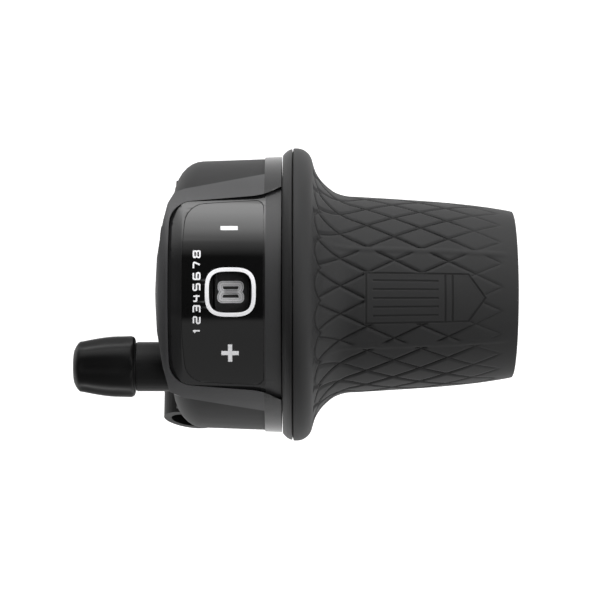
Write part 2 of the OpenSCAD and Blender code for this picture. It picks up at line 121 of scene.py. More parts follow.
def turnedPiece(name, outline, steps, axisY=0, axisZ=0):
    # an outline of (x, radius) points in mm, drawn by extruding a point and spun round an axis along X
    deselectAll()
    bpy.ops.mesh.primitive_plane_add(size=mm)
    piece = bpy.context.object
    piece.name = piece.data.name = name
    bpy.ops.object.mode_set(mode="EDIT")
    bpy.ops.mesh.merge(type="CENTER")
    firstX, firstR = outline[0]
    bpy.ops.transform.translate(value=(firstX * mm, axisY * mm, (axisZ + firstR) * mm))
    for (x0, r0), (x1, r1) in zip(outline, outline[1:]):
        step = ((x1 - x0) * mm, 0, (r1 - r0) * mm)
        bpy.ops.mesh.extrude_region_move(TRANSFORM_OT_translate={"value": step})
    bpy.ops.mesh.select_all(action="SELECT")
    bpy.ops.mesh.spin(steps=steps, angle=2 * math.pi, center=(0, axisY * mm, axisZ * mm), axis=(1, 0, 0))
    bpy.ops.mesh.select_all(action="SELECT")
    bpy.ops.mesh.remove_doubles(threshold=0.01 * mm)
    bpy.ops.mesh.normals_make_consistent(inside=False)
    bpy.ops.object.mode_set(mode="OBJECT")
    return piece


def arcPoints(centre, radius, start, end, count):
    return [
        (centre[0] + radius * math.cos(math.radians(start + (end - start) * i / count)),
         centre[1] + radius * math.sin(math.radians(start + (end - start) * i / count)))
        for i in range(count + 1)
    ]


def groupSocket(group, name, direction, value=None):
    socket = group.interface.new_socket(name=name, in_out=direction, socket_type="NodeSocketFloat")
    if value is not None:
        socket.default_value = value


def link(tree, source, target):
    tree.links.new(source, target)


def mathNode(tree, operation, a, b=None, c=None):
    node = tree.nodes.new("ShaderNodeMath")
    node.operation = operation
    for socket, value in zip(node.inputs, (a, b, c)):
        if value is None:
            continue
        if isinstance(value, (int, float)):
            socket.default_value = value
        else:
            link(tree, value, socket)
    return node.outputs[0]


def makeMouldedGrain():
    # the fine spark-eroded grain of moulded plastic and rubber
    group = bpy.data.node_groups.new("mouldedGrain", "ShaderNodeTree")
    groupSocket(group, "Size", "INPUT", value=0.25)
    groupSocket(group, "Depth", "INPUT", value=0.2)
    groupSocket(group, "Height", "OUTPUT")
    groupSocket(group, "Tone", "OUTPUT")
    inside = group.nodes.new("NodeGroupInput")
    outside = group.nodes.new("NodeGroupOutput")
    place = group.nodes.new("ShaderNodeTexCoord")
    perMetre = mathNode(group, "DIVIDE", 1 / mm, inside.outputs["Size"])
    fine = group.nodes.new("ShaderNodeTexNoise")
    fine.inputs["Detail"].default_value = 3
    link(group, place.outputs["Object"], fine.inputs["Vector"])
    link(group, perMetre, fine.inputs["Scale"])
    broad = group.nodes.new("ShaderNodeTexNoise")
    broad.inputs["Scale"].default_value = 90
    broad.inputs["Detail"].default_value = 4
    link(group, place.outputs["Object"], broad.inputs["Vector"])
    height = mathNode(group, "MULTIPLY", fine.outputs["Fac"], inside.outputs["Depth"])
    link(group, height, outside.inputs["Height"])
    blend = mathNode(group, "MULTIPLY_ADD", fine.outputs["Fac"], 0.35, 0.0)
    tone = mathNode(group, "MULTIPLY_ADD", broad.outputs["Fac"], 0.65, blend)
    link(group, tone, outside.inputs["Tone"])
    return group


mouldedGrain = makeMouldedGrain()


def newMaterial(name, roughness, metallic=0.0, specular=0.5):
    material = bpy.data.materials.new(name)
    material.use_nodes = True
    shader = material.node_tree.nodes["Principled BSDF"]
    shader.inputs["Roughness"].default_value = roughness
    shader.inputs["Metallic"].default_value = metallic
    shader.inputs["Specular IOR Level"].default_value = specular
    return material, material.node_tree, shader


def addGrain(tree, shader, dark, light, size=0.25, depth=0.2, roughDark=None, roughLight=None, before=None):
    grain = tree.nodes.new("ShaderNodeGroup")
    grain.node_tree = mouldedGrain
    grain.inputs["Size"].default_value = size
    grain.inputs["Depth"].default_value = depth
    ramp = tree.nodes.new("ShaderNodeValToRGB")
    ramp.color_ramp.elements[0].position = 0.36
    ramp.color_ramp.elements[1].position = 0.64
    ramp.color_ramp.elements[0].color = (*dark, 1)
    ramp.color_ramp.elements[1].color = (*light, 1)
    link(tree, grain.outputs["Tone"], ramp.inputs["Fac"])
    link(tree, ramp.outputs["Color"], shader.inputs["Base Color"])
    if roughDark is not None:
        spread = tree.nodes.new("ShaderNodeMapRange")
        spread.inputs["From Min"].default_value = 0.35
        spread.inputs["From Max"].default_value = 0.65
        spread.inputs["To Min"].default_value = roughDark
        spread.inputs["To Max"].default_value = roughLight
        link(tree, grain.outputs["Tone"], spread.inputs["Value"])
        link(tree, spread.outputs["Result"], shader.inputs["Roughness"])
    bump = tree.nodes.new("ShaderNodeBump")
    bump.inputs["Strength"].default_value = 0.5
    bump.inputs["Distance"].default_value = 0.05 * mm
    link(tree, grain.outputs["Height"], bump.inputs["Height"])
    if before is not None:
        link(tree, before, bump.inputs["Normal"])
    link(tree, bump.outputs["Normal"], shader.inputs["Normal"])
    return ramp.outputs["Color"]


def gray(value):
    return (value, value, value * 1.02)


def makePlastic(name, tone, roughness, size=0.25, depth=0.2, specular=0.5):
    material, tree, shader = newMaterial(name, roughness, specular=specular)
    addGrain(tree, shader, gray(tone * 0.88), gray(tone * 1.12), size, depth,
             roughness - 0.04, roughness + 0.05)
    return material


def makeMetal(name, colour, roughness, size=0.4):
    material, tree, shader = newMaterial(name, roughness, metallic=1.0)
    low = tuple(c * 0.85 for c in colour)
    addGrain(tree, shader, low, colour, size, 0.3, roughness - 0.06, roughness + 0.08)
    return material


# the cover's finish: satin on the raised frame, darker grain in the scoops, gloss on the outboard rim
cover = {
    "frameTone": 0.042, "scoopTone": 0.009, "rimTone": 0.013,
    "frameRough": 0.42, "scoopRough": 0.65, "rimRough": 0.25,
    "rimX": 20.7, "highY": 19.35, "highSlope": 0.196, "lowY": -19.1, "lowSlope": -0.169,
}


def stepNode(tree, value, low, high):
    # 0 below low and 1 above high
    spread = tree.nodes.new("ShaderNodeMapRange")
    spread.interpolation_type = "SMOOTHSTEP"
    spread.inputs["From Min"].default_value = low
    spread.inputs["From Max"].default_value = high
    link(tree, value, spread.inputs["Value"])
    return spread.outputs["Result"]


def mixColours(tree, factor, first, second):
    mix = tree.nodes.new("ShaderNodeMix")
    mix.data_type = "RGBA"
    link(tree, factor, mix.inputs["Factor"])
    for socket, colour in ((mix.inputs["A"], first), (mix.inputs["B"], second)):
        if isinstance(colour, tuple):
            socket.default_value = (*colour, 1)
        else:
            link(tree, colour, socket)
    return mix.outputs["Result"]


def multiplyColours(tree, first, second):
    product = tree.nodes.new("ShaderNodeMix")
    product.data_type = "RGBA"
    product.blend_type = "MULTIPLY"
    product.inputs["Factor"].default_value = 1
    link(tree, first, product.inputs["A"])
    link(tree, second, product.inputs["B"])
    return product.outputs["Result"]


def mixValues(tree, factor, first, second):
    if isinstance(first, float):
        return mathNode(tree, "MULTIPLY_ADD", factor, second - first, first)
    change = mathNode(tree, "SUBTRACT", second, first)
    return mathNode(tree, "MULTIPLY_ADD", factor, change, first)


def placeInMm(tree):
    # Object coordinates as millimetres
    place = tree.nodes.new("ShaderNodeTexCoord")
    split = tree.nodes.new("ShaderNodeSeparateXYZ")
    link(tree, place.outputs["Object"], split.inputs[0])
    return [mathNode(tree, "MULTIPLY", split.outputs[axis], 1 / mm) for axis in "XYZ"]


def makeCoverPlastic():
    material, tree, shader = newMaterial("coverPlastic", 0.45, specular=0.36)
    x, y, z = placeInMm(tree)
    belowHigh = mathNode(tree, "MULTIPLY_ADD", x, cover["highSlope"], cover["highY"])
    belowHigh = stepNode(tree, mathNode(tree, "SUBTRACT", belowHigh, y), -0.06, 0.06)
    aboveLow = mathNode(tree, "MULTIPLY_ADD", x, cover["lowSlope"], cover["lowY"])
    aboveLow = stepNode(tree, mathNode(tree, "SUBTRACT", y, aboveLow), -0.06, 0.06)
    frameMask = mathNode(tree, "MULTIPLY", belowHigh, aboveLow)
    rimMask = stepNode(tree, x, cover["rimX"] - 0.05, cover["rimX"] + 0.05)
    grainTone = addGrain(tree, shader, gray(0.9), gray(1.1), 0.22, 0.3)
    tone = mixColours(tree, frameMask, gray(cover["scoopTone"]), gray(cover["frameTone"]))
    tone = mixColours(tree, rimMask, tone, gray(cover["rimTone"]))
    link(tree, multiplyColours(tree, tone, grainTone), shader.inputs["Base Color"])
    rough = mixValues(tree, frameMask, cover["scoopRough"], cover["frameRough"])
    rough = mixValues(tree, rimMask, rough, cover["rimRough"])
    link(tree, rough, shader.inputs["Roughness"])
    return material


# the bezel round the display: gloss on the inboard side, satin on the strip beside the grip
bezel = {"tone": 0.012, "rough": 0.16, "stripX": 21.0, "stripTone": 0.022, "stripRough": 0.5}


def makeBezelPlastic():
    material, tree, shader = newMaterial("bezelPlastic", 0.2)
    x, y, z = placeInMm(tree)
    strip = stepNode(tree, x, bezel["stripX"] - 0.15, bezel["stripX"] + 0.15)
    grainTone = addGrain(tree, shader, gray(0.9), gray(1.1), 0.3, 0.06)
    tone = mixColours(tree, strip, gray(bezel["tone"]), gray(bezel["stripTone"]))
    link(tree, multiplyColours(tree, tone, grainTone), shader.inputs["Base Color"])
    link(tree, mixValues(tree, strip, bezel["rough"], bezel["stripRough"]), shader.inputs["Roughness"])
    return material


# the rubber over the turning tube, in mm and degrees
grip = {
    "crownX": 26.9, "crownR": 3.2, "crownC": 26.0, "startX": 26.13,
    "throatX": 38.25, "throatR": 8.3, "barrelR": 19.7, "barrelX": 38.55, "taper": 0.06, "droop": 1.1,
    "endX": 70.0, "endRound": 0.8, "boreR": 13.15, "shy": 0.14,
    # the darker of the two tones on the next line is a painted shade for the grooves
    "steps": 460, "rings": 124, "tone": 0.021, "grooveShadeTone": 0.0015,
    "around": 23, "pitch": 10.5, "netX": 35.3, "netTurn": 0.3,
    "grooveDepth": 0.3, "grooveHalf": 0.42, "fineHalf": 0.2,
    "edgeX": 31.5, "edgeBulge": 1.1,
    "ridges": (26.8, -31.4), "ridgeHalf": 0.75, "ridgeRise": 0.12,
    "labelTurn": -2.3, "labelHalf": 5.0, "labelX": 40.3, "labelShoulder": 60.1, "labelTip": 63.4,
    "dividers": (55.6, 57.0), "ribs": 5, "ribMargin": 1.5, "labelDepth": 0.08, "labelLine": (0.1, 0.28),
    # arcs of the outline by start, end and count of steps
    "crownArc": (100, 10, 12), "throatArc": (200, 268, 30), "lipArc": (55, 0, 4), "lipStart": 0.6,
    "faceR": 28.4,
    # where along the grip each part of the pattern comes in or fades out
    "barrelFrom": (32.5, 35), "netSoftens": (54, 64), "netEnds": (65.5, 67.5), "ridgeEnds": (66, 69),
}


def netSpread():
    # lines of the net for each millimetre square to them
    return math.hypot(grip["around"] / (2 * math.pi * grip["barrelR"]), 1 / grip["pitch"])


def netDistanceNodes(tree, x, turn):
    # distance in mm to the nearest line of the net of scales
    u = mathNode(tree, "MULTIPLY_ADD", turn, grip["around"] / (2 * math.pi), -grip["netTurn"])
    v = mathNode(tree, "MULTIPLY_ADD", x, 1 / grip["pitch"], -grip["netX"] / grip["pitch"])
    lines = [mathNode(tree, "PINGPONG", mathNode(tree, way, u, v), 0.5) for way in ("ADD", "SUBTRACT")]
    nearest = mathNode(tree, "DIVIDE", mathNode(tree, "MINIMUM", *lines), netSpread())
    fromLine = mathNode(tree, "PINGPONG", u, 0.5)
    bulge = mathNode(tree, "MULTIPLY", mathNode(tree, "MULTIPLY", fromLine, fromLine), 4 * grip["edgeBulge"])
    edge = mathNode(tree, "ADD", bulge, grip["edgeX"] - grip["edgeBulge"])
    fromEdge = mathNode(tree, "SUBTRACT", x, edge)
    return mathNode(tree, "MINIMUM", nearest, mathNode(tree, "ABSOLUTE", fromEdge)), fromEdge


def labelNodes(tree, x, turn):
    # distance in mm to the label's lines and ribs, and how far inside its outline a point lies
    half = grip["labelHalf"]
    slope = (grip["labelTip"] - grip["labelShoulder"]) / half
    across = mathNode(tree, "ABSOLUTE", mathNode(
        tree, "MULTIPLY_ADD", turn, grip["barrelR"], -math.radians(grip["labelTurn"]) * grip["barrelR"]))
    side = mathNode(tree, "SUBTRACT", half, across)
    fromStart = mathNode(tree, "SUBTRACT", x, grip["labelX"])
    toPoint = mathNode(tree, "MULTIPLY_ADD", across, -slope, mathNode(tree, "SUBTRACT", grip["labelTip"], x))
    toPoint = mathNode(tree, "DIVIDE", toPoint, math.hypot(1, slope))
    inside = mathNode(tree, "MINIMUM", mathNode(tree, "MINIMUM", side, fromStart), toPoint)
    outside = mathNode(tree, "MULTIPLY", inside, -1.0)
    line = mathNode(tree, "ABSOLUTE", inside)
    for at in grip["dividers"]:
        divider = mathNode(tree, "ABSOLUTE", mathNode(tree, "SUBTRACT", x, at))
        line = mathNode(tree, "MINIMUM", line, mathNode(tree, "MAXIMUM", divider, outside))
    ribPitch = 2 * (half - grip["ribMargin"]) / (grip["ribs"] - 1)
    ribShift = (1 - grip["ribs"] % 2) * ribPitch / 2
    rib = mathNode(tree, "PINGPONG", mathNode(tree, "ADD", across, ribShift), ribPitch / 2)
    beyond = mathNode(tree, "SUBTRACT", across, half - grip["ribMargin"] + 0.1)
    before = mathNode(tree, "SUBTRACT", grip["labelX"] + grip["ribMargin"], x)
    after = mathNode(tree, "SUBTRACT", x, grip["dividers"][0] - grip["ribMargin"])
    for limit in (beyond, before, after):
        rib = mathNode(tree, "MAXIMUM", rib, limit)
    return mathNode(tree, "MINIMUM", line, rib), inside


def makeGripRubber():
    # matt rubber with fine grooves that follow the turn and the length of the grip, and painted shade
    # darkening the grooves and the label's lines
    material, tree, shader = newMaterial("gripRubber", 0.62, specular=0.3)
    x, y, z = placeInMm(tree)
    turn = mathNode(tree, "ARCTAN2", y, z)
    net, fromEdge = netDistanceNodes(tree, x, turn)
    label, inside = labelNodes(tree, x, turn)
    plain = tree.nodes.new("ShaderNodeAttribute")
    plain.attribute_name = "plain"
    netMask = mathNode(tree, "SUBTRACT", 1.0, stepNode(tree, net, 0.06, grip["fineHalf"]))
    netMask = mathNode(tree, "MULTIPLY", netMask, mathNode(tree, "SUBTRACT", 1.0, plain.outputs["Fac"]))
    netMask = mathNode(tree, "MULTIPLY", netMask, stepNode(tree, fromEdge, -0.3, -0.1))
    offLabel = mathNode(tree, "SUBTRACT", 1.0, stepNode(tree, inside, -0.5, -0.2))
    netMask = mathNode(tree, "MULTIPLY", netMask, offLabel)
    labelMask = mathNode(tree, "SUBTRACT", 1.0, stepNode(tree, label, *grip["labelLine"]))
    onFace = stepNode(tree, z, 0.0, 4.0)
    labelMask = mathNode(tree, "MULTIPLY", labelMask, onFace)
    groove = mathNode(tree, "MAXIMUM", netMask, labelMask)
    cut = tree.nodes.new("ShaderNodeBump")
    cut.inputs["Strength"].default_value = 0.8
    cut.inputs["Distance"].default_value = 0.1 * mm
    link(tree, mathNode(tree, "MULTIPLY", groove, -1.0), cut.inputs["Height"])
    tone = grip["tone"]
    rubberTone = addGrain(tree, shader, gray(tone * 0.86), gray(tone * 1.14), 0.2, 0.6, 0.6, 0.7,
                          cut.outputs["Normal"])
    # painted shade: the colour darkens towards near black in the grooves of the net and in the label's lines
    depth = mathNode(tree, "MULTIPLY", groove, 0.8)
    grooveShaded = mixColours(tree, depth, rubberTone, gray(grip["grooveShadeTone"]))
    link(tree, grooveShaded, shader.inputs["Base Color"])
    return material


def makeLens():
    # clear plastic, thin enough that it only takes a little of the light
    material, tree, shader = newMaterial("lensClear", 0.04)
    shader.inputs["Base Color"].default_value = (0.01, 0.01, 0.01, 1)
    shader.inputs["Alpha"].default_value = 0.06
    return material


materials = {
    "cover_plastic": makeCoverPlastic(),
    "body_plastic": makePlastic("bodyPlastic", 0.006, 0.5, 0.3, 0.4, 0.16),
    "bezel_plastic": makeBezelPlastic(),
    "plate_gloss": makePlastic("plateGloss", 0.004, 0.06, 0.5, 0.0),
    "lens_clear": makeLens(),
    "screw_black": makeMetal("screwBlack", (0.05, 0.05, 0.052), 0.4),
    "screw_steel": makeMetal("screwSteel", (0.6, 0.6, 0.62), 0.35),
    "spring_steel": makeMetal("springSteel", (0.5, 0.5, 0.53), 0.3),
    "acetal": makePlastic("acetal", 0.7, 0.4),
    "ring_black": makePlastic("ringBlack", 0.012, 0.55),
    "tube_plastic": makePlastic("tubePlastic", 0.012, 0.5, 0.25, 0.3, 0.3),
    "grip_rubber": makeGripRubber(),
    "mark_white": makePlastic("markWhite", 0.94, 0.4, 0.3, 0.05),
    "number_gray": makePlastic("numberGray", 0.3, 0.5, 0.3, 0.05),
    "number_edge": makePlastic("numberEdge", 0.9, 0.5, 0.3, 0.05),
    "barrel_metal": makeMetal("barrelMetal", (0.4, 0.4, 0.42), 0.35),
    "knob_plastic": makePlastic("knobPlastic", 0.005, 0.42, 0.25, 0.4, 0.12),
}
slotOf = {part["node"]: part["material_slot"] for part in frame["record"]["subparts"]}


def dress(piece, slot):
    piece.data.materials.clear()
    piece.data.materials.append(materials[slot])


for name, node in nodes.items():
    dress(node, slotOf[name])
print("materials made:", len(materials))


softened = {
    "coverShell": ("housing_cover", 0.22, "housing"),
    "bodyShell": ("housing_body", 0.25, "housing"),
    "displayBezel": ("display_bezel", 0.16, "housing"),
    "displayPlate": ("display_plate", 0.2, "housing"),
}
for name, (node, width, body) in softened.items():
    piece = softenedCopy(node, name, width * mm)
    dress(piece, slotOf[node])
    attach(piece, body)
    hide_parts(node)
print("shells softened")


def finishPiece(piece, body, slot, *replaced):
    dress(piece, slot)
    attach(piece, body)
    if replaced:
        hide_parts(*replaced)


def barrelRadius(x):
    share = (x - grip["barrelX"]) / (grip["endX"] - grip["barrelX"])
    return grip["barrelR"] - grip["taper"] * (x - grip["barrelX"]) - grip["droop"] * share ** 4


def rubberOutline():
    crown = arcPoints((grip["crownX"], grip["crownC"]), grip["crownR"], *grip["crownArc"])
    throatC = grip["barrelR"] + grip["throatR"]
    throat = arcPoints((grip["throatX"], throatC), grip["throatR"], *grip["throatArc"])
    count = grip["rings"]
    length = grip["endX"] - grip["lipStart"] - grip["barrelX"]
    barrel = [(x, barrelRadius(x)) for x in (grip["barrelX"] + length * i / count for i in range(count + 1))]
    endR = barrelRadius(grip["endX"]) - grip["endRound"] * 0.8
    lip = arcPoints((grip["endX"] - grip["endRound"], endR), grip["endRound"], *grip["lipArc"])
    inner = [(grip["endX"], grip["boreR"]), (grip["startX"], grip["boreR"]), (grip["startX"], grip["faceR"])]
    return crown + throat + barrel + lip + inner + [crown[0]]


def smoothstep(low, high, value):
    t = min(max((value - low) / (high - low), 0), 1)
    return t * t * (3 - 2 * t)


def dip(distance, half):
    return 1 - smoothstep(half * 0.25, half, abs(distance))


def grooveAt(x, angle):
    # 1 in the middle of a groove of the net, 0 away from it
    u = angle * grip["around"] / (2 * math.pi) - grip["netTurn"]
    v = (x - grip["netX"]) / grip["pitch"]
    nearest = min(abs((u + v + 0.5) % 1 - 0.5), abs((u - v + 0.5) % 1 - 0.5)) / netSpread()
    fromLine = abs((u + 0.5) % 1 - 0.5)
    fromEdge = x - grip["edgeX"] + grip["edgeBulge"] * (1 - 4 * fromLine ** 2)
    if fromEdge < -0.2:
        return 0
    return dip(min(nearest, abs(fromEdge)), grip["grooveHalf"])


def insideLabel(x, across):
    half = grip["labelHalf"]
    slope = (grip["labelTip"] - grip["labelShoulder"]) / half
    toPoint = (grip["labelTip"] - x - abs(across) * slope) / math.hypot(1, slope)
    return min(half - abs(across), x - grip["labelX"], toPoint)


def shapeRubber(piece):
    # presses the net, the label and the two ridges into the turned shape
    mesh = piece.data
    plain = mesh.attributes.new("plain", "FLOAT", "POINT")
    moves = []
    for vertex in mesh.vertices:
        x, y, z = (c / mm for c in vertex.co)
        radius = math.hypot(y, z)
        if radius < grip["boreR"] + 1 or x < grip["startX"] + 0.1 or x > grip["endX"] - 0.2:
            plain.data[vertex.index].value = 1
            continue
        angle = math.atan2(y, z)
        inside = insideLabel(x, (angle - math.radians(grip["labelTurn"])) * grip["barrelR"])
        onBarrel = smoothstep(*grip["barrelFrom"], x)
        ridges = [dip((angle - math.radians(at)) * radius, grip["ridgeHalf"]) for at in grip["ridges"]]
        ridge = max(ridges) * onBarrel
        fade = 1 - smoothstep(*grip["netEnds"], x)
        bare = 1 - fade * (1 - min(ridge * 1.6, 1)) * (1 - 0.6 * smoothstep(*grip["netSoftens"], x))
        groove = grooveAt(x, angle) * (1 - bare) * (1 - smoothstep(-0.5, -0.1, inside))
        rise = ridge * grip["ridgeRise"] * (1 - smoothstep(*grip["ridgeEnds"], x))
        depth = (groove * grip["grooveDepth"] + smoothstep(0, 0.3, inside) * grip["labelDepth"]
                 - rise + grip["shy"] * onBarrel)
        plain.data[vertex.index].value = bare
        moves.append((vertex.index, vertex.normal.copy() * depth * mm))
    for index, move in moves:
        mesh.vertices[index].co -= move


gripRubber = turnedPiece("gripRubber", rubberOutline(), grip["steps"])
shapeRubber(gripRubber)
smoothEdges(gripRubber, 50)
settle(gripRubber)
finishPiece(gripRubber, "grip", "grip_rubber", "grip_rubber")
print("grip made:", len(gripRubber.data.polygons), "faces")


# the adjuster's knob, in mm
knob = {
    "y": -14.046, "z": 13.998, "endX": -16.3, "rootX": -4.4, "bigR": 5.95, "steps": 96,
    "flutes": 6, "fluteDepth": 0.6, "boreR": 2.55, "boreDepth": 7.6, "screwR": 3.05,
    "pocketR": 4.7, "pocket": 3.0, "shoulder": 0.34,
    "sideFrom": 1.7, "sideStep": 0.75, "sideIn": 1.02, "sideSwell": 0.97,
}


def knobOutline():
    left, right, big = knob["endX"], knob["rootX"], knob["bigR"]
    side = []
    for i in range(11):
        swell = knob["sideSwell"] * math.sin(math.radians(9 * i))
        side.append((left + knob["sideFrom"] + knob["sideStep"] * i, big - knob["sideIn"] + swell))
    return [
        (left, knob["boreR"]), (left, 2.9), (left + 0.1, 3.3), (left + 0.45, 4.0), (left + 0.8, 4.5),
        (left + 1.15, 4.85), *side, (right - 0.8, big), (right - 0.35, big - 0.14), (right - 0.1, big - 0.4),
        (right, big - 0.7), (right, knob["pocketR"] + 0.05),
        (right + knob["shoulder"], knob["pocketR"] - 0.1),
        (right + knob["shoulder"], knob["pocketR"] - 0.5), (right - knob["pocket"], knob["pocketR"] - 0.5),
        (right - knob["pocket"], knob["screwR"]), (left + knob["boreDepth"] + 0.2, knob["screwR"]),
        (left + knob["boreDepth"], knob["boreR"]), (left, knob["boreR"]),
    ]


def makeKnob():
    piece = turnedPiece("adjusterKnob", knobOutline(), knob["steps"], knob["y"], knob["z"])
    for vertex in piece.data.vertices:
        x = vertex.co.x / mm
        y, z = vertex.co.y / mm - knob["y"], vertex.co.z / mm - knob["z"]
        radius = math.hypot(y, z)
        if radius < knob["pocketR"] - 0.4 or x < knob["endX"] + 0.3 or x > knob["rootX"] - 0.05:
            continue
        wave = (0.5 + 0.5 * math.cos(knob["flutes"] * math.atan2(y, z))) ** 1.6
        ends = smoothstep(knob["endX"] + 0.3, knob["endX"] + 2.2, x) * (1 - smoothstep(
            knob["rootX"] - 1.0, knob["rootX"] - 0.1, x) * 0.75)
        scale = 1 - knob["fluteDepth"] * wave * ends / radius
        vertex.co.y = (knob["y"] + y * scale) * mm
        vertex.co.z = (knob["z"] + z * scale) * mm
    smoothEdges(piece, 50)
    return piece


adjusterKnob = makeKnob()
settle(adjusterKnob)
finishPiece(adjusterKnob, "adjuster_knob", "knob_plastic", "adjuster_knob")
print("knob made")


# printed figures are drawn as strokes on a grid two units wide and two high
figureStrokes = {
    1: [[(-0.5, 0.5), (-0.05, 0.88), (0.1, 1), (0.1, 0.85), (0.1, -1)]],
    2: [[(-1, 1), (1, 1), (1, 0), (-1, 0), (-1, -1), (1, -1)]],
    3: [[(-1, 1), (1, 1), (1, 0), (1, -1), (-1, -1)], [(-0.6, 0), (0.8, 0)]],
    4: [[(-1, 1), (-1, 0), (1, 0)], [(0.62, 1), (0.62, -1)]],
    5: [[(1, 1), (-1, 1), (-1, 0), (1, 0), (1, -1), (-1, -1)]],
    6: [[(1, 1), (-1, 1), (-1, -1), (1, -1), (1, 0), (-0.9, 0)]],
    7: [[(-1, 1), (1, 1), (0.1, -1)]],
    8: [[(0, 1), (0.97, 1), (0.97, 0.42), (0.8, 0), (-0.8, 0), (-0.97, 0.42), (-0.97, 1), (0, 1)],
        [(0, 0), (0.82, 0), (1, -0.42), (1, -1), (-1, -1), (-1, -0.42), (-0.82, 0), (0, 0)]],
}


def roundedPath(points, cornerRound, arcSteps=6):
    # a path in mm with each corner replaced by a curve
    path = [Vector(points[0])]
    for before, corner, after in zip(points, points[1:], points[2:]):
        before, corner, after = Vector(before), Vector(corner), Vector(after)
        intoCorner, outOfCorner = (corner - before).normalized(), (after - corner).normalized()
        bend = intoCorner.angle_signed(outOfCorner)
        reach = cornerRound * math.tan(abs(bend) / 2)
        reach = min(reach, (corner - before).length / 2, (after - corner).length / 2)
        start, end = corner - intoCorner * reach, corner + outOfCorner * reach
        for i in range(arcSteps + 1):
            t = i / arcSteps
            path.append(start * (1 - t) ** 2 + corner * 2 * t * (1 - t) + end * t ** 2)
    path.append(Vector(points[-1]))
    return path


def splitPath(path, longest=0.4):
    # more points along a path, so that it can follow a curved surface
    split = [path[0]]
    for start, end in zip(path, path[1:]):
        count = math.ceil((end - start).length / longest)
        split += [start.lerp(end, i / count) for i in range(1, count + 1)]
    return split


def strokePiece(name, paths, stroke, thickness):
    # round strokes along flat paths, pressed to a thin layer of print
    curve = bpy.data.curves.new(name, "CURVE")
    curve.dimensions = "3D"
    curve.bevel_depth = stroke / 2 * mm
    curve.bevel_resolution = 2
    curve.use_fill_caps = True
    for path in paths:
        closed = (Vector(path[0]) - Vector(path[-1])).length < 1e-6
        if closed:
            path = path[:-1]
        spline = curve.splines.new("POLY")
        spline.points.add(len(path) - 1)
        for point, at in zip(spline.points, path):
            point.co = (at[0] * mm, at[1] * mm, 0, 1)
        spline.use_cyclic_u = closed
    piece = bpy.data.objects.new(name, curve)
    bpy.context.scene.collection.objects.link(piece)
    pick(piece)
    bpy.ops.object.convert(target="MESH")
    piece = bpy.context.object
    piece.scale = (1, 1, thickness / stroke)
    settle(piece)
    return piece


def wrapRound(piece, radius):
    # lays a flat piece on a cylinder about the bar's axis
    for vertex in piece.data.vertices:
        vertex.co.z += math.sqrt((radius * mm) ** 2 - vertex.co.y ** 2)
    smoothEdges(piece, 40)


def figurePiece(name, figure, width, height, stroke, thickness, cornerRound):
    halfX, halfY = (width - stroke) / 2, (height - stroke) / 2
    paths = []
    for points in figureStrokes[figure]:
        corners = [(x * halfX, y * halfY) for x, y in points]
        paths.append(splitPath(roundedPath(corners, cornerRound)))
    return strokePiece(name, paths, stroke, thickness)


def placed(piece, x, y, turn=0):
    piece.rotation_euler = (0, 0, math.radians(turn))
    piece.location = (x * mm, y * mm, 0)
    settle(piece)
    return piece


# the printed marks on the display plate, in mm
marks = {
    "plateR": 26.93, "thickness": 0.03, "gears": 8,
    "ringAt": (14.4, 0.4), "ringSize": (9.65, 9.35), "ringStroke": 0.76, "ringSquare": 3.3,
    "minusAt": (14.1, 12.6), "plusAt": (14.3, -11.2), "barLength": 3.3, "barWidth": 0.8,
    "scaleX": 8.0, "scaleY": (-7.0, 7.6), "figureWidth": 1.5, "figureHeight": 1.5, "figureStroke": 0.3,
    "figureRound": 0.25,
}


def makeRingMark():
    # a superellipse
    halfX = (marks["ringSize"][0] - marks["ringStroke"]) / 2
    halfY = (marks["ringSize"][1] - marks["ringStroke"]) / 2
    power = 2 / marks["ringSquare"]
    path = []
    for i in range(97):
        c, s = math.cos(2 * math.pi * i / 96), math.sin(2 * math.pi * i / 96)
        x, y = math.copysign(abs(c) ** power, c), math.copysign(abs(s) ** power, s)
        path.append((x * halfX, y * halfY))
    path[-1] = path[0]
    return placed(strokePiece("ringMark", [path], marks["ringStroke"], marks["thickness"]), *marks["ringAt"])


def makeBarMark(name, at, crossed):
    reach = marks["barLength"] / 2
    steps = [reach * (i / 4 - 1) for i in range(9)]
    paths = [[(x, 0) for x in steps]]
    if crossed:
        paths.append([(0, y) for y in steps])
    return placed(strokePiece(name, paths, marks["barWidth"], marks["thickness"]), *at)


def makeScale():
    # the gears' numbers in a column, read from the bottom up
    low, high = marks["scaleY"]
    pieces = []
    for gear in range(1, marks["gears"] + 1):
        figure = figurePiece("scale" + str(gear), gear, marks["figureWidth"], marks["figureHeight"],
                             marks["figureStroke"], marks["thickness"], marks["figureRound"])
        y = low + (high - low) * (gear - 1) / (marks["gears"] - 1)
        pieces.append(placed(figure, marks["scaleX"], y, 90))
    return pieces


printed = [makeRingMark(), makeBarMark("minusMark", marks["minusAt"], False),
           makeBarMark("plusMark", marks["plusAt"], True), *makeScale()]
for mark in printed:
    wrapRound(mark, marks["plateR"])
    finishPiece(mark, "housing", "mark_white")
print("marks printed:", len(printed))


# the gear numbers on the ring below the lens, in mm and degrees, in layers from the widest stroke up
numbers = {
    "at": (14.4, 0.42), "width": 5.1, "height": 4.2, "stroke": 1.0, "cornerRound": 0.8,
    "layers": (("Edge", 1.0, "number_edge"), ("Line", 0.58, "number_gray"), ("Face", 0.44, "number_edge")),
    "step": 16, "ringR": 24.2, "lift": 0.012,
}


def makeNumber(gear, layer, stroke, lift):
    width = numbers["width"] - numbers["stroke"] + stroke
    height = numbers["height"] - numbers["stroke"] + stroke
    number = figurePiece("number" + layer + str(gear), gear, width, height, stroke, marks["thickness"],
                         numbers["cornerRound"])
    placed(number, *numbers["at"])
    wrapRound(number, numbers["ringR"] + lift)
    number.rotation_euler = (math.radians(numbers["step"] * (marks["gears"] - gear)), 0, 0)
    settle(number)
    return number


